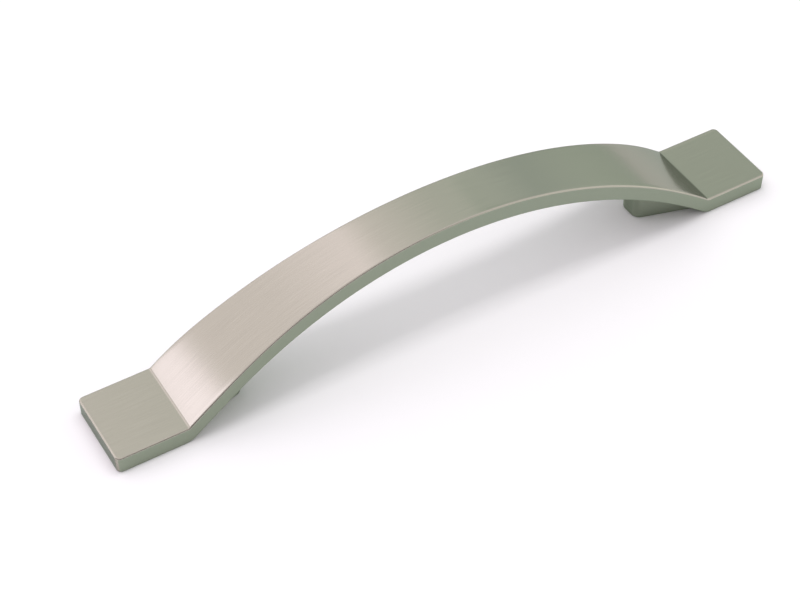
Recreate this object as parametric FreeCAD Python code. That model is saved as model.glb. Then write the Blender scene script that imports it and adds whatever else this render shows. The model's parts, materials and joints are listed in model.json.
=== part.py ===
"""Arched cabinet handle, cast in one piece: a waisted strap between two flat tabs, on two feet.

The handle lies on the face of a door or drawer front, z = 0, with its length along X.
The origin is on that face, halfway between the two tapped holes.
"""
import FreeCAD, Part
import math
import os

from FreeCAD import Vector

# Length: the holes' spacing, the way out to the bend, and the flat tab beyond it.
hole_spacing = 128.0
hole_to_bend = 7.2
tab_length = 17.8

# Strap and tabs, seen from the side. The strap is equally deep, measured upright, all along.
arch_rise = 25.0
strap_depth = 4.6
tab_thickness = 4.6
bend_inside_radius = 1.0
bend_outside_radius = 4.0

# Strap and tabs, seen from above.
end_width = 20.8
waist_width = 14.4
shoulder_radius = 130.0
tab_corner_radius = 1.3

# Worn-off edges of the casting.
top_edge_radius = 0.4
lower_edge_radius = 0.3

# Feet under the ends of the arch: tongues that widen from a blunt tip towards the tab.
tip_to_hole = 9.4
tip_width = 6.0
foot_flare_angle = 16.5
foot_draft_angle = 1.5
foot_corner_radius = 2.4
foot_edge_radius = 0.4

# Blind tapped holes for the screws that come through the door. The bore is the thread's core.
bore_diameter = 3.3
bore_depth = 6.5
bore_point_angle = 118.0
mouth_diameter = 4.4
mouth_angle = 90.0

# How far a cutting or trimming solid stands clear of what it cuts.
trim_clearance = 1.0
# How near its place an edge has to lie to be taken for the edge that is looked for.
match_clearance = 0.01

# Places that follow from the sizes above.
hole_x = hole_spacing / 2
bend_x = hole_x + hole_to_bend
end_x = bend_x + tab_length
tip_x = hole_x - tip_to_hole
root_x = bend_x + tab_length / 2
crown_z = tab_thickness + arch_rise
crown_under_z = crown_z - strap_depth
arch_radius = (bend_x ** 2 + arch_rise ** 2) / (2 * arch_rise)
half_end = end_width / 2
half_waist = waist_width / 2


def arc(start, middle, end):
    """Edge of a circular arc through three points."""
    return Part.Arc(start, middle, end).toShape()


def line(start, end):
    """Straight edge."""
    return Part.LineSegment(start, end).toShape()


def face(edges):
    """Flat face inside a closed ring of edges."""
    return Part.Face(Part.Wire(edges))


def arch_reach(height):
    """Half-span of an arc of the arch's radius whose crown is this high above its ends."""
    return math.sqrt(arch_radius ** 2 - (arch_radius - height) ** 2)


def across_the_width(profile):
    """Bar with the given side profile, wider than the handle."""
    bar = profile.extrude(Vector(0, end_width + 2 * trim_clearance, 0))
    bar.translate(Vector(0, -half_end - trim_clearance, 0))
    return bar


def side_profile():
    """The handle from the side: tab, arch and tab, with the arch's top and underside alike."""
    under_x = arch_reach(crown_under_z)
    return face([
        line(Vector(-end_x, 0, 0), Vector(-end_x, 0, tab_thickness)),
        line(Vector(-end_x, 0, tab_thickness), Vector(-bend_x, 0, tab_thickness)),
        arc(
            Vector(-bend_x, 0, tab_thickness),
            Vector(0, 0, crown_z),
            Vector(bend_x, 0, tab_thickness),
        ),
        line(Vector(bend_x, 0, tab_thickness), Vector(end_x, 0, tab_thickness)),
        line(Vector(end_x, 0, tab_thickness), Vector(end_x, 0, 0)),
        line(Vector(end_x, 0, 0), Vector(under_x, 0, 0)),
        arc(Vector(under_x, 0, 0), Vector(0, 0, crown_under_z), Vector(-under_x, 0, 0)),
        line(Vector(-under_x, 0, 0), Vector(-end_x, 0, 0)),
    ])


def long_edge(side):
    """One long edge seen from above: straight, convex shoulder, concave waist, shoulder, straight.

    The shoulder and the waist meet where both have turned by the same angle from the length.
    """
    turn = 2 * math.atan((half_end - half_waist) / bend_x)

    def shoulder_point(way, angle):
        inset = shoulder_radius * math.sin(angle)
        drop = shoulder_radius * (1 - math.cos(angle))
        return Vector(way * (bend_x - inset), side * (half_end - drop), 0)

    return [
        line(Vector(-end_x, side * half_end, 0), shoulder_point(-1, 0)),
        arc(shoulder_point(-1, 0), shoulder_point(-1, turn / 2), shoulder_point(-1, turn)),
        arc(shoulder_point(-1, turn), Vector(0, side * half_waist, 0), shoulder_point(1, turn)),
        arc(shoulder_point(1, turn), shoulder_point(1, turn / 2), shoulder_point(1, 0)),
        line(shoulder_point(1, 0), Vector(end_x, side * half_end, 0)),
    ]


def plan_outline():
    """The handle from above: two square tabs joined by the waisted strap."""
    left_tip = line(Vector(-end_x, half_end, 0), Vector(-end_x, -half_end, 0))
    right_tip = line(Vector(end_x, -half_end, 0), Vector(end_x, half_end, 0))
    return face(long_edge(-1) + [right_tip] + long_edge(1)[::-1] + [left_tip])


def is_upright(edge):
    """Whether an edge stands straight up."""
    box = edge.BoundBox
    return max(box.XLength, box.YLength) < match_clearance


def is_across(edge):
    """Whether an edge runs straight across the width."""
    box = edge.BoundBox
    return max(box.XLength, box.ZLength) < match_clearance


def is_at(edge, distance):
    """Whether an edge's middle is this far from the handle's middle, to either side."""
    return abs(abs(edge.CenterOfMass.x) - distance) < match_clearance


def height_on_arch(x, crown):
    """Height at x of an arc of the arch's radius with its crown at the given height."""
    return math.sqrt(arch_radius ** 2 - x ** 2) - arch_radius + crown


def bend_edges(bar, distance, height):
    """The two edges across a bar where its tabs are bent from the arch."""
    found = []
    for edge in bar.Edges:
        is_level = abs(edge.CenterOfMass.z - height) < match_clearance
        if is_across(edge) and is_at(edge, distance) and is_level:
            found.append(edge)
    return found


def strap():
    """The strap with its tabs: a bar with rounded bends, cut to the outline seen from above."""
    bar = across_the_width(side_profile())
    bar = bar.makeFillet(bend_inside_radius, bend_edges(bar, bend_x, tab_thickness))
    under_x = arch_reach(crown_under_z)
    bar = bar.makeFillet(bend_outside_radius, bend_edges(bar, under_x, 0))
    plate = plan_outline().extrude(Vector(0, 0, crown_z + 2 * trim_clearance))
    plate.translate(Vector(0, 0, -trim_clearance))
    corners = [edge for edge in plate.Edges if is_upright(edge) and is_at(edge, end_x)]
    plate = plate.makeFillet(tab_corner_radius, corners)
    return bar.common(plate)


def rim_edges(solid, upper):
    """The edges that run round the strap and tabs, either on top or underneath."""
    found = []
    for edge in solid.Edges:
        x = min(abs(edge.CenterOfMass.x), bend_x)
        half_height = height_on_arch(x, crown_z - strap_depth / 2)
        is_upper = edge.CenterOfMass.z > half_height
        crosses = is_across(edge) and not is_at(edge, end_x)
        if is_upper == upper and not is_upright(edge) and not crosses:
            found.append(edge)
    return found


def tongue_outline(height, growth):
    """Four corners of the left foot's outline at one height, each wall moved out by growth."""
    flare = math.radians(foot_flare_angle)
    near_x = tip_x - growth

    def half_width(x):
        return tip_width / 2 + (x - tip_x) * math.tan(flare) + growth / math.cos(flare)

    return [
        Vector(-near_x, half_width(near_x), height),
        Vector(-near_x, -half_width(near_x), height),
        Vector(-root_x, -half_width(root_x), height),
        Vector(-root_x, half_width(root_x), height),
    ]


def block_between(low, high):
    """Solid between two rings of corners, one above the other."""
    rings = [low, high]
    for i in range(len(low)):
        following = (i + 1) % len(low)
        rings.append([low[i], low[following], high[following], high[i]])
    faces = [Part.Face(Part.makePolygon(ring + ring[:1])) for ring in rings]
    return Part.Solid(Part.Shell(faces))


def left_foot():
    """A drafted tongue with a rounded tip, which reaches halfway up into the strap."""
    growth = crown_z * math.tan(math.radians(foot_draft_angle))
    tongue = block_between(tongue_outline(0, 0), tongue_outline(crown_z, growth))
    beside_tip = [edge for edge in tongue.Edges if not is_at(edge, root_x)]
    corners = [edge for edge in beside_tip if edge.BoundBox.ZLength > match_clearance]
    tongue = tongue.makeFillet(foot_corner_radius, corners)
    beside_tip = [edge for edge in tongue.Edges if not is_at(edge, root_x)]
    lower = [edge for edge in beside_tip if edge.BoundBox.ZMax < match_clearance]
    tongue = tongue.makeFillet(foot_edge_radius, lower)
    crown = crown_z - strap_depth / 2
    reach = arch_reach(crown)
    under_arch = face([
        line(Vector(-reach, 0, 0), Vector(reach, 0, 0)),
        arc(Vector(reach, 0, 0), Vector(0, 0, crown), Vector(-reach, 0, 0)),
    ])
    return tongue.common(across_the_width(under_arch))


def hole_cutter(way):
    """Drilled hole with a pointed end and a chamfered mouth, on the foot's axis."""
    bore = bore_diameter / 2
    mouth = mouth_diameter / 2
    mouth_slope = math.tan(math.radians(mouth_angle / 2))
    point_depth = bore / math.tan(math.radians(bore_point_angle / 2))
    corners = [
        Vector(0, 0, -trim_clearance),
        Vector(mouth + trim_clearance * mouth_slope, 0, -trim_clearance),
        Vector(bore, 0, (mouth - bore) / mouth_slope),
        Vector(bore, 0, bore_depth),
        Vector(0, 0, bore_depth + point_depth),
    ]
    section = Part.Face(Part.makePolygon(corners + corners[:1]))
    cutter = section.revolve(Vector(0, 0, 0), Vector(0, 0, 1), 360)
    cutter.translate(Vector(way * hole_x, 0, 0))
    return cutter


def handle():
    """The whole casting."""
    body = strap()
    body = body.makeFillet(top_edge_radius, rim_edges(body, True))
    body = body.makeFillet(lower_edge_radius, rim_edges(body, False))
    foot = left_foot()
    body = body.fuse([foot, foot.mirror(Vector(0, 0, 0), Vector(1, 0, 0))]).removeSplitter()
    body = body.cut([hole_cutter(-1), hole_cutter(1)])
    return body.Solids[0]


def main():
    os.makedirs("parts", exist_ok=True)
    casting = handle()
    print("volume", round(casting.Volume, 1), "mm3")
    casting.exportStep("parts/handle_casting.step")


main()
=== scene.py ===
"""Arched cabinet handle: one brushed casting, with a pale studio floor, a lamp and a camera.

The casting is modelled as a straight bar, which is then bent to its arch, gets its two feet and
is drilled and tapped. Lengths are in metres, in the frame's own axes: X along the handle, Z up.
"""
import json
import math

import bmesh
import bpy
from bpy.props import FloatProperty, FloatVectorProperty, PointerProperty
from bpy.types import Operator, Panel, PropertyGroup
from mathutils import Matrix, Vector


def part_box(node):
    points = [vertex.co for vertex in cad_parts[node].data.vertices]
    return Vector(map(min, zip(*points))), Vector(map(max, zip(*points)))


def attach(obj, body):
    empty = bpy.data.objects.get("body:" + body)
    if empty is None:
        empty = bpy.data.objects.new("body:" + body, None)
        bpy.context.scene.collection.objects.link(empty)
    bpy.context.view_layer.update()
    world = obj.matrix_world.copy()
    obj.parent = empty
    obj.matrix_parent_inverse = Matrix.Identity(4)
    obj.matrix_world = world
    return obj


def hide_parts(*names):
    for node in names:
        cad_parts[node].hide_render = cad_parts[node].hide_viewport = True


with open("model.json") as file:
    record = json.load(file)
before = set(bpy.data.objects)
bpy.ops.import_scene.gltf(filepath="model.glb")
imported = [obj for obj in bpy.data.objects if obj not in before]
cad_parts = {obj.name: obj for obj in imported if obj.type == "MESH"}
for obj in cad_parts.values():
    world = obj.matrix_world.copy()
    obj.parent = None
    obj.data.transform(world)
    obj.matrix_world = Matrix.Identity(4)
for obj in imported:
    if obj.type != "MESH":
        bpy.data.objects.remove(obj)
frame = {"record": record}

bl_info = {
    "name": "Brushed Cabinet Handle",
    "version": (1, 0, 0),
    "blender": (4, 5, 0),
    "location": "3D View > Sidebar > Handle",
    "description": "An arched cabinet handle in brushed nickel, on a pale studio floor",
    "category": "Add Mesh",
}

MM = 0.001
CASTING = "handle_casting"
BODY = "root"
FINISH_SLOT = "brushed_nickel"

# The vertex attribute that holds each point's x, y and depth below the top, as on a straight bar.
BAR_PLACE = "place_on_bar"

# How near its place a vertex has to lie to be taken for the one that is looked for.
NEAR = 0.001 * MM
# A face is level if the upright part of its normal is more than this.
LEVEL = 0.5
# Edges sharper than this stay sharp.
SHARP_ANGLE = math.radians(35)

# How many facets round a corner seen from above, the upper rim and a lower rim.
CORNER_SEGMENTS = 8
TOP_RIM_SEGMENTS = 6
LOWER_RIM_SEGMENTS = 4

# The loops round the bar: how far apart they are along the arch and at the bend, how far before
# and after the bend's corner the close ones reach, and how many there are beyond it.
ARCH_STEP = 1.5 * MM
BEND_STEP = 0.12 * MM
BEFORE_BEND = 1.3 * MM
AFTER_BEND = 1.56 * MM
TAB_STEPS = 6
# The loops along the rolled-off edges, and how far they keep clear of those of the rims.
ROLL_STEPS = 4
RIM_CLEARANCE = 0.02 * MM
# The loops round the bar's sides, as shares of its depth.
SIDE_LOOPS = (0.3, 0.5, 0.7)
# How much further in than the roll-off the edge keeps its shape when the waist is drawn in.
BAND_MARGIN = 0.1 * MM
# How far to either side the slope of the strap is measured.
SLOPE_STEP = 0.01 * MM

# How far a foot reaches under the tab.
FOOT_REACH = 1.3 * MM

# The hole's cutter: the angle of its point, its facets, and how far it stands clear of the foot.
DRILL_POINT = math.radians(118)
DRILL_STEPS = 48
DRILL_CLEARANCE = 1 * MM
# The thread's cutter: facets in a turn, turns before it is cut to length, how far it lies inside
# the bore, and where the thread starts above the door.
TAP_STEPS = 36
TAP_TURNS = 10
TAP_OVERLAP = 0.12 * MM
THREAD_START = 0.02 * MM

# The belt reaches from the top a little way down the sides: full at the first depth, gone at the
# second. Near the tips it reaches all the way down, from the first distance to the second.
# Below the belt the sides and underside are rougher and take the flank colour, which is painted
# shade.
BELT_FULL_DEPTH = 0.25 * MM
BELT_END_DEPTH = 0.55 * MM
BELT_TIP_START = 0.6 * MM
BELT_TIP_FULL = 0.2 * MM
# The way the belt ran. It is tilted a little, so that a tip's face has a way across it too.
BELT_WAY = (1, 0, 0.1)

# The casting's highest corner, which gives its half sizes.
CASTING_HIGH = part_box(CASTING)[1]
HOLES = [mount for mount in frame["record"]["mounts"] if mount["kind"] == "threaded_hole"]


def length(name, description, default):
    """A size that a user may change, given in metres."""
    return FloatProperty(
        name=name,
        description=description,
        default=default,
        min=0,
        precision=5,
        subtype="DISTANCE",
        unit="LENGTH",
    )


def angle(name, description, degrees):
    """An angle that a user may change, given in degrees."""
    return FloatProperty(
        name=name,
        description=description,
        default=math.radians(degrees),
        subtype="ANGLE",
        unit="ROTATION",
    )


def amount(name, description, default, highest=1.0):
    """A plain number between nothing and its highest value."""
    return FloatProperty(name=name, description=description, default=default, min=0, max=highest)


def color(name, description, default):
    """A linear colour."""
    return FloatVectorProperty(
        name=name,
        description=description,
        default=default,
        size=3,
        min=0,
        soft_max=1,
        subtype="COLOR",
    )


class HandleSizes(PropertyGroup):
    """Sizes of the casting."""

    half_length: length("Half length", "From the middle to a tip", CASTING_HIGH[0])
    half_end: length("Half end width", "Half the width of a tab", CASTING_HIGH[1])
    crown_height: length("Crown height", "Top of the arch", CASTING_HIGH[2])
    half_waist: length("Half waist", "Half the width at the middle of the arch", 7.2 * MM)
    tab_length: length("Tab length", "From the bend to the tip", 17.8 * MM)
    depth: length("Strap depth", "Depth of tab and strap, measured upright", 4.6 * MM)
    inside_bend: length("Inside bend", "Radius of the hollow bend on top", 1.0 * MM)
    outside_bend: length("Outside bend", "Radius of the round bend underneath", 4.0 * MM)
    shoulder_radius: length("Shoulder", "Radius of the outline beside a tab", 130 * MM)
    corner_radius: length("Tab corners", "Radius of a tab's corners from above", 1.3 * MM)
    top_rim: length("Top rim", "Radius of the worn upper rim", 0.4 * MM)
    lower_rim: length("Lower rim", "Radius of the lower rim", 0.3 * MM)
    roll_width: length("Roll-off width", "How far in the belt has rounded the long edges", 1.4 * MM)
    roll_drop: length("Roll-off drop", "How much the belt took off at a long edge", 0.08 * MM)
    foot_tip_gap: length("Foot tip", "From a hole to the tip of its foot", 9.4 * MM)
    foot_tip_width: length("Foot tip width", "Width of a foot at its tip", 6.0 * MM)
    foot_flare: angle("Foot flare", "Angle of a foot's walls to its axis, from above", 16.5)
    foot_draft: angle("Foot draft", "Angle of a foot's walls to the upright", 1.5)
    foot_corner: length("Foot corners", "Radius of a foot's upright corners", 2.4 * MM)
    foot_rim: length("Foot rim", "Radius of a foot's lower rim", 0.4 * MM)
    bore_depth: length("Bore depth", "Depth of the drilled hole", 6.5 * MM)
    mouth_radius: length("Mouth", "Radius of the hole's chamfered mouth", 2.2 * MM)
    thread_radius: length("Thread radius", "Outer radius of the thread", 2.0 * MM)
    thread_pitch: length("Thread pitch", "Pitch of the thread", 0.7 * MM)


class HandleFinish(PropertyGroup):
    """Colour and grain of the plated and brushed metal."""

    metal: color("Nickel", "Colour of the brushed plating", (0.454, 0.42, 0.365))
    # The flank colour is painted shade: darker and greener than the nickel, for the dim reflection
    # of the shaded floor that the sides and underside show.
    flank_unbrushed_and_painted_shade: color("Flank", "Colour of the unbrushed sides and underside", (0.32, 0.36, 0.28))
    edge: color("Grazing tint", "Tint of the reflections at a grazing angle", (0.32, 0.42, 0.37))
    metallic: amount("Metallic", "How much the plating shines rather than scatters", 0.8)
    roughness: amount("Roughness", "Roughness of the brushed surface", 0.16)
    flank_roughness: amount("Flank roughness", "Roughness of the sides and underside", 0.36)
    grain: amount("Grain", "How much the brushing stretches a reflection across it", 0.8)
    line_width: length("Line width", "Width of a brushed line", 0.35 * MM)
    line_length: length("Line length", "Length of a brushed line", 12 * MM)
    line_depth: length("Line depth", "Depth of a brushed line", 0.003 * MM)
    line_tone: amount("Line tone", "How much lighter or darker a brushed line may be", 0.075)


class HandleStudio(PropertyGroup):
    """Camera, floor and light."""

    view_azimuth: angle("Camera azimuth", "Round from the front, towards the right", -30.894)
    view_elevation: angle("Camera elevation", "Above the floor", 46.434)
    view_distance: length("Camera distance", "From the point looked at", 436.5 * MM)
    view_target: FloatVectorProperty(
        name="Look at",
        description="Point in the middle of the picture",
        default=(-11.33 * MM, 0, 3.78 * MM),
        size=3,
        subtype="TRANSLATION",
        unit="LENGTH",
    )
    lens: FloatProperty(name="Lens", description="Focal length", default=83.74, min=1)
    floor_size: length("Floor size", "Length of a side of the floor", 4.0)
    floor_color: color("Floor", "Colour of the floor", (0.928, 0.903, 0.93))
    key_power: FloatProperty(
        name="Key lamp", description="Power of the overhead lamp", default=0.72, unit="POWER"
    )
    key_length: length("Key length", "Length of the overhead lamp, along the handle", 0.5)
    key_width: length("Key width", "Width of the overhead lamp, across the handle", 0.12)
    key_place: FloatVectorProperty(
        name="Key place",
        description="Middle of the overhead lamp",
        default=(0, 0.03, 0.5),
        size=3,
        subtype="TRANSLATION",
        unit="LENGTH",
    )
    walls: amount("Studio walls", "Strength of the light from all round", 1.0, 10)


def strap_height(sizes, x, crown, floor, bend):
    """Height at x of the strap's top or underside: a level tab, a round bend and the arch."""
    rise = sizes.crown_height - sizes.depth
    bend_x = sizes.half_length - sizes.tab_length
    radius = (bend_x**2 + rise**2) / (2 * rise)
    centre = crown - radius
    bend_end = math.sqrt((radius + bend) ** 2 - (floor + bend - centre) ** 2)
    bend_start = bend_end * radius / (radius + bend)
    x = abs(x)
    if x >= bend_end:
        return floor
    if x <= bend_start:
        return centre + math.sqrt(radius**2 - x**2)
    return floor + bend - math.sqrt(bend**2 - (x - bend_end) ** 2)


def top_height(sizes, x):
    """Height of the strap's top at x."""
    return strap_height(sizes, x, sizes.crown_height, sizes.depth, sizes.inside_bend)


def under_height(sizes, x):
    """Height of the strap's underside at x."""
    return strap_height(sizes, x, sizes.crown_height - sizes.depth, 0, sizes.outside_bend)


def half_width(sizes, x):
    """Half the strap's width at x: straight tab, convex shoulder, concave waist."""
    bend_x = sizes.half_length - sizes.tab_length
    narrowing = sizes.half_end - sizes.half_waist
    turn = 2 * math.atan(narrowing / bend_x)
    waist_radius = bend_x / math.sin(turn) - sizes.shoulder_radius
    meeting_x = waist_radius * math.sin(turn)
    x = abs(x)
    if x >= bend_x:
        return sizes.half_end
    if x >= meeting_x:
        inset = bend_x - x
        drop = sizes.shoulder_radius - math.sqrt(sizes.shoulder_radius**2 - inset**2)
        return sizes.half_end - drop
    return sizes.half_waist + waist_radius - math.sqrt(waist_radius**2 - x**2)


def bevel(form, edges, offset, segments):
    """Rounds some edges of a bmesh."""
    bmesh.ops.bevel(
        form,
        geom=edges,
        offset=offset,
        offset_type="OFFSET",
        segments=segments,
        profile=0.5,
        affect="EDGES",
        clamp_overlap=True,
        material=-1,
    )


def slice_at(form, place, direction, keep_inner=False):
    """Cuts a bmesh along a plane, and drops what lies beyond it if only the inner side is kept."""
    everything = form.verts[:] + form.edges[:] + form.faces[:]
    bmesh.ops.bisect_plane(
        form,
        geom=everything,
        dist=NEAR / 10,
        plane_co=place,
        plane_no=direction,
        clear_outer=keep_inner,
    )


def close_ends(form):
    """Fills the openings that slicing has left."""
    bmesh.ops.holes_fill(form, edges=[edge for edge in form.edges if edge.is_boundary], sides=0)


def slice_both_sides(form, distance, axis):
    """Cuts a bmesh at the same distance on either side of the middle."""
    direction = Vector((0, 0, 0))
    direction[axis] = 1
    slice_at(form, direction * distance, direction)
    slice_at(form, -direction * distance, direction)


def is_upright(edge):
    """Whether an edge stands straight up."""
    run = edge.verts[0].co - edge.verts[1].co
    return math.hypot(run.x, run.y) < NEAR


def lies_at(edge, height):
    """Whether both ends of an edge lie at one height."""
    return all(abs(vert.co.z - height) < NEAR for vert in edge.verts)


def bounds_level_face(edge):
    """Whether an edge has a level face on one side only."""
    facing_up = {face.normal.z > LEVEL for face in edge.link_faces}
    facing_down = {face.normal.z < -LEVEL for face in edge.link_faces}
    return len(facing_up) == 2 or len(facing_down) == 2


def rim(form, height):
    """The outer edges of a flat face at one height."""
    return [edge for edge in form.edges if lies_at(edge, height) and bounds_level_face(edge)]


def straight_bar(sizes):
    """The strap before it is bent: a straight bar with rounded corners and worn rims."""
    bar = bmesh.new()
    bmesh.ops.create_cube(bar, size=1)
    shape = (2 * sizes.half_length, 2 * sizes.half_end, sizes.depth)
    bmesh.ops.scale(bar, vec=shape, verts=bar.verts)
    bmesh.ops.translate(bar, vec=(0, 0, sizes.depth / 2), verts=bar.verts)
    corners = [edge for edge in bar.edges if is_upright(edge)]
    bevel(bar, corners, sizes.corner_radius, CORNER_SEGMENTS)
    bar.normal_update()
    bevel(bar, rim(bar, sizes.depth), sizes.top_rim, TOP_RIM_SEGMENTS)
    bar.normal_update()
    bevel(bar, rim(bar, 0), sizes.lower_rim, LOWER_RIM_SEGMENTS)
    return bar


def spaced(start, end, steps):
    """Places at equal steps from a start, which isn't one of them, to an end."""
    return [start + (end - start) * i / steps for i in range(1, steps + 1)]


def slice_places(sizes):
    """Where the bar is sliced across, from its middle outwards: closely at the bend."""
    bend_x = sizes.half_length - sizes.tab_length
    bend_low = bend_x - BEFORE_BEND
    bend_high = bend_x + AFTER_BEND
    tab_end = sizes.half_length - sizes.roll_width
    places = spaced(0, bend_low, round(bend_low / ARCH_STEP))
    places += spaced(bend_low, bend_high, round((bend_high - bend_low) / BEND_STEP))
    places += spaced(bend_high, tab_end, TAB_STEPS)
    return places


def slice_bar(bar, sizes):
    """Gives the bar the loops it needs to bend smoothly and to roll off at its edges."""
    slice_at(bar, (0, 0, 0), (0, 1, 0))
    slice_both_sides(bar, sizes.half_end / 2, 1)
    roll = sizes.roll_width - sizes.top_rim
    for i in range(ROLL_STEPS + 1):
        inset = sizes.top_rim + roll * i / ROLL_STEPS + RIM_CLEARANCE
        slice_both_sides(bar, sizes.half_end - inset, 1)
        slice_both_sides(bar, sizes.half_length - inset, 0)
    for share in SIDE_LOOPS:
        slice_at(bar, (0, 0, sizes.depth * share), (0, 0, 1))
    slice_at(bar, (0, 0, 0), (1, 0, 0))
    for place in slice_places(sizes):
        slice_both_sides(bar, place, 0)


def slope(height, sizes, x):
    """Slope of the strap's top or underside at x."""
    rise = height(sizes, x + SLOPE_STEP) - height(sizes, x - SLOPE_STEP)
    return rise / (2 * SLOPE_STEP)


def bend_bar(bar, sizes):
    """Bends the straight bar to its arch and draws in its waist."""
    band = sizes.roll_width + BAND_MARGIN
    for vert in bar.verts:
        x, y, z = vert.co
        inset = sizes.half_end - abs(y)
        width = half_width(sizes, x)
        if inset <= band:
            across = width - inset
        else:
            across = abs(y) * (width - band) / (sizes.half_end - band)
        top = top_height(sizes, x)
        under = under_height(sizes, x)
        below_top = sizes.depth - z
        roll = max(1 - inset / sizes.roll_width, 0) ** 2 * sizes.roll_drop
        if below_top <= sizes.top_rim + NEAR:
            height = top - below_top * math.hypot(1, slope(top_height, sizes, x)) - roll
        elif z <= sizes.lower_rim + NEAR:
            height = under + z * math.hypot(1, slope(under_height, sizes, x))
        else:
            height = under + (top - under) * z / sizes.depth
        vert.co = (x, math.copysign(across, y), height)


def new_object(name, form):
    """Puts a finished bmesh into a new object of the scene."""
    mesh = bpy.data.meshes.new(name)
    form.to_mesh(mesh)
    form.free()
    made = bpy.data.objects.new(name, mesh)
    bpy.context.scene.collection.objects.link(made)
    return made


def is_foot_corner(edge, tip_x, root_x):
    """Whether an edge is one of the two upright corners beside a foot's tip."""
    low, high = sorted(edge.verts, key=lambda vert: vert.co.z)
    is_rising = high.co.z - low.co.z > MM
    return is_rising and low.co.x < (tip_x + root_x) / 2


def foot(sizes, hole_x):
    """A drafted tongue under one end of the arch, from its blunt tip to just under the tab."""
    way = math.copysign(1, hole_x)
    tip_x = abs(hole_x) - sizes.foot_tip_gap
    bend_x = sizes.half_length - sizes.tab_length
    root_x = bend_x + FOOT_REACH
    flare = math.tan(sizes.foot_flare)
    draft = math.tan(sizes.foot_draft)
    form = bmesh.new()
    bmesh.ops.create_cube(form, size=1)
    for vert in form.verts:
        height = sizes.crown_height if vert.co.z > 0 else 0
        growth = height * draft
        x = tip_x - growth if vert.co.x < 0 else root_x
        half = sizes.foot_tip_width / 2 + (x - tip_x) * flare + growth / math.cos(sizes.foot_flare)
        vert.co = (x, math.copysign(half, vert.co.y), height)
    form.normal_update()
    corners = [edge for edge in form.edges if is_foot_corner(edge, tip_x, root_x)]
    turn = math.pi / 2 - sizes.foot_flare
    bevel(form, corners, sizes.foot_corner * math.tan(turn / 2), CORNER_SEGMENTS)
    form.normal_update()
    lower = [edge for edge in rim(form, 0) if min(v.co.x for v in edge.verts) < root_x - NEAR]
    bevel(form, lower, sizes.foot_rim, LOWER_RIM_SEGMENTS)
    start = Vector((tip_x, 0, (top_height(sizes, tip_x) + under_height(sizes, tip_x)) / 2))
    end = Vector((root_x, 0, sizes.depth / 2))
    along = end - start
    slice_at(form, start, (-along.z, 0, along.x), keep_inner=True)
    close_ends(form)
    if way < 0:
        bmesh.ops.rotate(form, matrix=Matrix.Rotation(math.pi, 3, "Z"), verts=form.verts)
    bmesh.ops.recalc_face_normals(form, faces=form.faces)
    return new_object("foot", form)


def turned(profile, steps):
    """Solid turned about the Z axis from an open profile whose ends lie on the axis."""
    form = bmesh.new()
    verts = [form.verts.new(Vector((radius, 0, height))) for radius, height in profile]
    edges = [form.edges.new(pair) for pair in zip(verts, verts[1:])]
    bmesh.ops.spin(
        form,
        geom=verts + edges,
        axis=(0, 0, 1),
        cent=(0, 0, 0),
        steps=steps,
        angle=2 * math.pi,
        use_merge=True,
    )
    bmesh.ops.remove_doubles(form, verts=form.verts, dist=NEAR)
    bmesh.ops.recalc_face_normals(form, faces=form.faces)
    return form


def drill(sizes, hole):
    """Cutter for a blind hole with a pointed end and a chamfered mouth."""
    bore = hole["dims"]["r_mm"] * MM
    point_depth = bore / math.tan(DRILL_POINT / 2)
    profile = [
        (0, -DRILL_CLEARANCE),
        (sizes.mouth_radius + DRILL_CLEARANCE, -DRILL_CLEARANCE),
        (bore, sizes.mouth_radius - bore),
        (bore, sizes.bore_depth),
        (0, sizes.bore_depth + point_depth),
    ]
    form = turned(profile, DRILL_STEPS)
    bmesh.ops.translate(form, vec=(hole["pos_m"][0], hole["pos_m"][1], 0), verts=form.verts)
    return new_object("drill", form)


def tap(sizes, hole):
    """Cutter for the thread: the groove's profile, swept up a helix, cut to length and closed."""
    core = hole["dims"]["r_mm"] * MM - TAP_OVERLAP
    pitch = sizes.thread_pitch
    crest = pitch / 8
    thread_end = sizes.bore_depth - 2 * pitch
    form = bmesh.new()
    groove = [
        (core, -pitch / 2),
        (core, -pitch / 2 + crest),
        (sizes.thread_radius, -crest / 2),
        (sizes.thread_radius, crest / 2),
        (core, pitch / 2 - crest),
        (core, pitch / 2),
    ]
    verts = [form.verts.new(Vector((radius, 0, height - pitch))) for radius, height in groove]
    edges = [form.edges.new(pair) for pair in zip(verts, verts[1:])]
    bmesh.ops.spin(
        form,
        geom=verts + edges,
        axis=(0, 0, 1),
        cent=(0, 0, 0),
        dvec=(0, 0, pitch / TAP_STEPS),
        steps=TAP_STEPS * TAP_TURNS,
        angle=2 * math.pi * TAP_TURNS,
    )
    bmesh.ops.remove_doubles(form, verts=form.verts, dist=NEAR)
    slice_at(form, (0, 0, thread_end), (0, 0, 1), keep_inner=True)
    slice_at(form, (0, 0, THREAD_START), (0, 0, -1), keep_inner=True)
    close_ends(form)
    bmesh.ops.recalc_face_normals(form, faces=form.faces)
    bmesh.ops.translate(form, vec=(hole["pos_m"][0], hole["pos_m"][1], 0), verts=form.verts)
    return new_object("tap", form)


def combine(piece, tool, operation):
    """Joins a tool to a piece or cuts it out of the piece, and uses the tool up."""
    step = piece.modifiers.new("combine", "BOOLEAN")
    step.operation = operation
    step.object = tool
    step.solver = "EXACT"
    graph = bpy.context.evaluated_depsgraph_get()
    result = bpy.data.meshes.new_from_object(piece.evaluated_get(graph))
    piece.modifiers.clear()
    old = piece.data
    piece.data = result
    bpy.data.meshes.remove(old)
    used = tool.data
    bpy.data.objects.remove(tool)
    bpy.data.meshes.remove(used)


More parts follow.
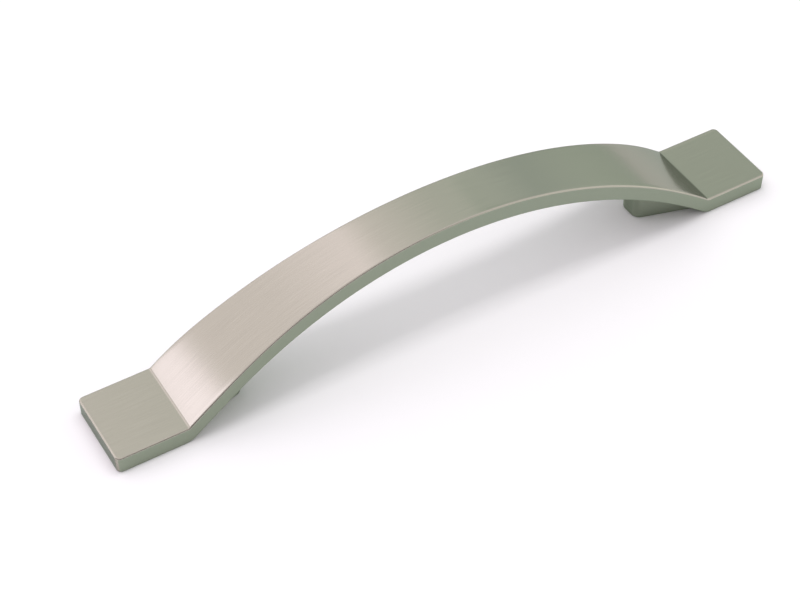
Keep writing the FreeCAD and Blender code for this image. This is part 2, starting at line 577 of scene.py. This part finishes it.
def clean_up(piece):
    """Merges what the cuts left doubled, checks that the skin is closed and marks sharp edges."""
    form = bmesh.new()
    form.from_mesh(piece.data)
    bmesh.ops.remove_doubles(form, verts=form.verts, dist=2 * NEAR)
    bmesh.ops.dissolve_degenerate(form, edges=form.edges, dist=NEAR)
    bmesh.ops.recalc_face_normals(form, faces=form.faces)
    open_edges = [edge for edge in form.edges if not edge.is_manifold]
    if open_edges:
        raise RuntimeError(f"the casting has {len(open_edges)} open edges")
    for face in form.faces:
        face.smooth = True
    form.to_mesh(piece.data)
    form.free()
    piece.data.set_sharp_from_angle(angle=SHARP_ANGLE)


def mark_bar_places(mesh, sizes):
    """Keeps each point's place as it was on the straight bar, which the brushed lines follow and
    whose depth below the top places the flank's painted shade.
    """
    places = mesh.attributes.new(BAR_PLACE, "FLOAT_VECTOR", "POINT")
    for vert in mesh.vertices:
        x, y, z = vert.co
        places.data[vert.index].vector = (x, y, top_height(sizes, x) - z)


def shade_by_area(piece):
    """Keeps flat faces flat beside their rounded rims."""
    step = piece.modifiers.new("flat faces", "WEIGHTED_NORMAL")
    step.mode = "FACE_AREA_WITH_ANGLE"
    step.weight = 50
    step.keep_sharp = True


def nodes_of(owner):
    """The emptied node tree of a material or a world, and a short way to add nodes to it."""
    owner.use_nodes = True
    tree = owner.node_tree
    tree.nodes.clear()

    def add(kind, **settings):
        node = tree.nodes.new(kind)
        for name, value in settings.items():
            setattr(node, name, value)
        return node

    return tree, add


def brushed_nickel(finish, sizes):
    """Warm nickel plating, brushed on top and at the tips, plain and rougher on the sides and
    underneath, which also get a darker colour as painted shade.
    """
    material = bpy.data.materials.new(FINISH_SLOT)
    tree, add = nodes_of(material)
    link = tree.links.new
    shader = add("ShaderNodeBsdfPrincipled")
    shader.inputs["Metallic"].default_value = finish.metallic
    shader.inputs["Anisotropic"].default_value = finish.grain
    shader.inputs["Specular Tint"].default_value = (*finish.edge, 1)
    output = add("ShaderNodeOutputMaterial")
    link(shader.outputs["BSDF"], output.inputs["Surface"])

    place = add("ShaderNodeAttribute", attribute_name=BAR_PLACE, attribute_type="GEOMETRY")
    stretch = add("ShaderNodeMapping")
    stretch.inputs["Scale"].default_value = (
        1 / finish.line_length,
        1 / finish.line_width,
        1 / finish.line_width,
    )
    link(place.outputs["Vector"], stretch.inputs["Vector"])
    lines = add("ShaderNodeTexNoise")
    lines.inputs["Scale"].default_value = 1
    lines.inputs["Detail"].default_value = 3
    link(stretch.outputs["Vector"], lines.inputs["Vector"])
    depth = add("ShaderNodeBump")
    depth.inputs["Distance"].default_value = finish.line_depth
    depth.inputs["Strength"].default_value = 1
    link(lines.outputs["Fac"], depth.inputs["Height"])
    link(depth.outputs["Normal"], shader.inputs["Normal"])

    parts = add("ShaderNodeSeparateXYZ")
    link(place.outputs["Vector"], parts.inputs["Vector"])
    way_out = add("ShaderNodeMath", operation="ABSOLUTE")
    link(parts.outputs["X"], way_out.inputs[0])
    beside = add("ShaderNodeMapRange", interpolation_type="SMOOTHSTEP")
    beside.inputs["From Min"].default_value = sizes.half_length - BELT_TIP_START
    beside.inputs["From Max"].default_value = sizes.half_length - BELT_TIP_FULL
    beside.inputs["To Min"].default_value = 1
    beside.inputs["To Max"].default_value = 0
    link(way_out.outputs["Value"], beside.inputs["Value"])
    # Mask of the sides and underside below the belt: it sets their rougher finish and mixes in the
    # flank colour, which is painted shade.
    flank_unbrushed_and_painted_shade = add("ShaderNodeMapRange", interpolation_type="SMOOTHSTEP")
    flank_unbrushed_and_painted_shade.inputs["From Min"].default_value = BELT_FULL_DEPTH
    flank_unbrushed_and_painted_shade.inputs["From Max"].default_value = BELT_END_DEPTH
    link(beside.outputs["Result"], flank_unbrushed_and_painted_shade.inputs["To Max"])
    link(parts.outputs["Z"], flank_unbrushed_and_painted_shade.inputs["Value"])
    line_shade = add("ShaderNodeMapRange")
    line_shade.inputs["To Min"].default_value = 1 - finish.line_tone
    line_shade.inputs["To Max"].default_value = 1 + finish.line_tone
    link(lines.outputs["Fac"], line_shade.inputs["Value"])
    brushed = add("ShaderNodeMix", data_type="RGBA", blend_type="MULTIPLY")
    brushed.inputs["Factor"].default_value = 1
    brushed.inputs["A"].default_value = (*finish.metal, 1)
    link(line_shade.outputs["Result"], brushed.inputs["B"])
    # Mixes the brushed nickel with the darker flank colour, the painted shade, by the flank mask.
    tone = add("ShaderNodeMix", data_type="RGBA")
    link(brushed.outputs["Result"], tone.inputs["A"])
    tone.inputs["B"].default_value = (*finish.flank_unbrushed_and_painted_shade, 1)
    link(flank_unbrushed_and_painted_shade.outputs["Result"], tone.inputs["Factor"])
    link(tone.outputs["Result"], shader.inputs["Base Color"])
    rough = add("ShaderNodeMapRange")
    rough.inputs["To Min"].default_value = finish.roughness
    rough.inputs["To Max"].default_value = finish.flank_roughness
    link(flank_unbrushed_and_painted_shade.outputs["Result"], rough.inputs["Value"])
    link(rough.outputs["Result"], shader.inputs["Roughness"])

    surface = add("ShaderNodeNewGeometry")
    across = add("ShaderNodeVectorMath", operation="CROSS_PRODUCT")
    across.inputs[0].default_value = BELT_WAY
    link(surface.outputs["Normal"], across.inputs[1])
    link(across.outputs["Vector"], shader.inputs["Tangent"])
    return material


def pale_floor(studio):
    """Plain pale floor."""
    material = bpy.data.materials.new("pale_floor")
    tree, add = nodes_of(material)
    shader = add("ShaderNodeBsdfDiffuse")
    shader.inputs["Color"].default_value = (*studio.floor_color, 1)
    output = add("ShaderNodeOutputMaterial")
    tree.links.new(shader.outputs["BSDF"], output.inputs["Surface"])
    return material


# How far back the front wall and the ceiling give way to the back wall, from start to end.
BACK_START = 0.1
BACK_END = 0.45
# The studio's back wall from left to right: how far to the right, from -1 to 1, and its light.
BACK_WALL = (
    (-1.0, (2.3, 2.2, 2.45)),
    (-0.61, (2.3, 2.2, 2.45)),
    (-0.58, (1.22, 1.18, 1.19)),
    (-0.3, (1.26, 1.22, 1.24)),
    (0.02, (1.56, 1.49, 1.56)),
    (0.12, (1.1, 1.1, 1.09)),
    (0.36, (0.71, 0.8, 0.73)),
    (0.48, (0.67, 0.78, 0.7)),
    (0.67, (0.42, 0.55, 0.48)),
    (0.79, (0.54, 0.68, 0.58)),
    (1.0, (0.4, 0.5, 0.42)),
)
# The foot of the back wall, which is nowhere as bright as the wall's left side, and how high up
# it gives way to the wall.
BACK_WALL_FOOT = (
    (-0.3, (1.2, 1.16, 1.18)),
    (0.67, (0.42, 0.55, 0.48)),
    (0.79, (0.54, 0.68, 0.58)),
)
BACK_WALL_FOOT_START = 0.28
BACK_WALL_FOOT_END = 0.4
# The back wall's upper right corner, which is darker, and where it starts from the left and below.
CORNER = (0.44, 0.58, 0.48)
CORNER_LEFT_START = 0.45
CORNER_LEFT_END = 0.5
CORNER_LOW_START = 0.6
CORNER_LOW_END = 0.66
# The front wall, low down: dark in the middle and at the left, pale at the right.
FRONT_WALL = (
    (-1.0, (0.08, 0.08, 0.08)),
    (0.25, (0.08, 0.08, 0.08)),
    (0.5, (1.08, 1.12, 1.06)),
    (1.0, (1.18, 1.22, 1.17)),
)
# The ceiling in front, and how high up the front wall gives way to it.
CEILING = (
    (-0.2, (1.0, 0.96, 0.99)),
    (0.5, (0.95, 0.96, 0.95)),
)
CEILING_START = 0.4
CEILING_END = 0.7


def studio_walls(studio):
    """Soft light from all round, brightest at the back left and dark low down in front."""
    world = bpy.data.worlds.new("studio_walls")
    bpy.context.scene.world = world
    tree, add = nodes_of(world)
    link = tree.links.new
    direction = add("ShaderNodeTexCoord")
    parts = add("ShaderNodeSeparateXYZ")
    link(direction.outputs["Generated"], parts.inputs["Vector"])

    across = add("ShaderNodeMapRange")
    across.inputs["From Min"].default_value = -1
    link(parts.outputs["X"], across.inputs["Value"])

    def wall(stops):
        """Light that changes from left to right."""
        ramp = add("ShaderNodeValToRGB")
        elements = ramp.color_ramp.elements
        while len(elements) < len(stops):
            elements.new(0.5)
        for element, (place, tone) in zip(elements, stops):
            element.position = (place + 1) / 2
            element.color = (*tone, 1)
        link(across.outputs["Result"], ramp.inputs["Fac"])
        return ramp.outputs["Color"]

    def blend(axis, start, end, low, high):
        """Light that passes from one colour to another along an axis."""
        share = add("ShaderNodeMapRange", interpolation_type="SMOOTHSTEP")
        share.inputs["From Min"].default_value = start
        share.inputs["From Max"].default_value = end
        link(parts.outputs[axis], share.inputs["Value"])
        both = add("ShaderNodeMix", data_type="RGBA")
        link(share.outputs["Result"], both.inputs["Factor"])
        for tone, socket in ((low, both.inputs["A"]), (high, both.inputs["B"])):
            if isinstance(tone, tuple):
                socket.default_value = (*tone, 1)
            else:
                link(tone, socket)
        return both.outputs["Result"]

    front = blend("Z", CEILING_START, CEILING_END, wall(FRONT_WALL), wall(CEILING))
    back_foot = wall(BACK_WALL_FOOT)
    back = blend("Z", BACK_WALL_FOOT_START, BACK_WALL_FOOT_END, back_foot, wall(BACK_WALL))
    beside_corner = blend("X", CORNER_LEFT_START, CORNER_LEFT_END, back, CORNER)
    back = blend("Z", CORNER_LOW_START, CORNER_LOW_END, back, beside_corner)
    walls = blend("Y", BACK_START, BACK_END, front, back)
    background = add("ShaderNodeBackground")
    background.inputs["Strength"].default_value = studio.walls
    link(walls, background.inputs["Color"])
    output = add("ShaderNodeOutputWorld")
    link(background.outputs["Background"], output.inputs["Surface"])


def aim(thing, place, target):
    """Puts a lamp or the camera at a place and turns it to look at a target."""
    thing.location = place
    thing.rotation_euler = (Vector(target) - Vector(place)).to_track_quat("-Z", "Y").to_euler()


def key_lamp(studio):
    """Long soft lamp over the handle, which throws its shadow and leaves no glare on the metal."""
    light = bpy.data.lights.new("key_lamp", "AREA")
    light.shape = "RECTANGLE"
    light.energy = studio.key_power
    light.size = studio.key_length
    light.size_y = studio.key_width
    made = bpy.data.objects.new("key_lamp", light)
    made.location = studio.key_place
    made.visible_glossy = False
    bpy.context.scene.collection.objects.link(made)


class HANDLE_OT_casting(Operator):
    """Models the casting and gives it its brushed finish"""

    bl_idname = "cabinet_handle.casting"
    bl_label = "Casting"

    def execute(self, context):
        sizes = context.scene.handle_sizes
        bar = straight_bar(sizes)
        slice_bar(bar, sizes)
        bend_bar(bar, sizes)
        bmesh.ops.recalc_face_normals(bar, faces=bar.faces)
        casting = new_object("brushed_casting", bar)
        for hole in HOLES:
            combine(casting, foot(sizes, hole["pos_m"][0]), "UNION")
        for hole in HOLES:
            combine(casting, drill(sizes, hole), "DIFFERENCE")
            combine(casting, tap(sizes, hole), "DIFFERENCE")
        clean_up(casting)
        mark_bar_places(casting.data, sizes)
        shade_by_area(casting)
        casting.data.materials.clear()
        casting.data.materials.append(brushed_nickel(context.scene.handle_finish, sizes))
        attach(casting, BODY)
        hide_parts(CASTING)
        return {"FINISHED"}


class HANDLE_OT_stage(Operator):
    """Sets up the camera, the floor and the soft studio light"""

    bl_idname = "cabinet_handle.stage"
    bl_label = "Stage"

    def execute(self, context):
        studio = context.scene.handle_studio
        self.add_camera(context, studio)
        self.add_floor(context, studio)
        studio_walls(studio)
        key_lamp(studio)
        context.scene.view_settings.view_transform = "Standard"
        return {"FINISHED"}

    def add_camera(self, context, studio):
        camera = bpy.data.cameras.new("camera")
        camera.lens = studio.lens
        camera.sensor_width = 36
        camera.clip_start = 10 * MM
        camera.clip_end = 20
        made = bpy.data.objects.new("camera", camera)
        context.scene.collection.objects.link(made)
        around = studio.view_azimuth
        above = studio.view_elevation
        back = Vector((
            math.sin(around) * math.cos(above),
            -math.cos(around) * math.cos(above),
            math.sin(above),
        ))
        target = Vector(studio.view_target)
        aim(made, target + back * studio.view_distance, target)
        context.scene.camera = made

    def add_floor(self, context, studio):
        form = bmesh.new()
        bmesh.ops.create_grid(form, x_segments=1, y_segments=1, size=studio.floor_size / 2)
        floor = new_object("floor", form)
        floor.data.materials.append(pale_floor(studio))


class HANDLE_PT_sidebar(Panel):
    """Lists the handle's sizes and the steps that make it"""

    bl_idname = "HANDLE_PT_sidebar"
    bl_label = "Cabinet Handle"
    bl_space_type = "VIEW_3D"
    bl_region_type = "UI"
    bl_category = "Handle"

    def draw(self, context):
        for operator in OPERATORS:
            self.layout.operator(operator.bl_idname)
        scene = context.scene
        for group in (scene.handle_sizes, scene.handle_finish, scene.handle_studio):
            box = self.layout.box()
            for name in group.__annotations__:
                box.prop(group, name)


OPERATORS = (HANDLE_OT_stage, HANDLE_OT_casting)
CLASSES = (HandleSizes, HandleFinish, HandleStudio, *OPERATORS, HANDLE_PT_sidebar)


def register():
    for item in CLASSES:
        bpy.utils.register_class(item)
    bpy.types.Scene.handle_sizes = PointerProperty(type=HandleSizes)
    bpy.types.Scene.handle_finish = PointerProperty(type=HandleFinish)
    bpy.types.Scene.handle_studio = PointerProperty(type=HandleStudio)


def unregister():
    del bpy.types.Scene.handle_studio
    del bpy.types.Scene.handle_finish
    del bpy.types.Scene.handle_sizes
    for item in reversed(CLASSES):
        bpy.utils.unregister_class(item)


def main():
    """Makes the stage and the casting."""
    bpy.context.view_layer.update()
    register()
    bpy.ops.cabinet_handle.stage()
    bpy.ops.cabinet_handle.casting()


if __name__ == "__main__":
    main()
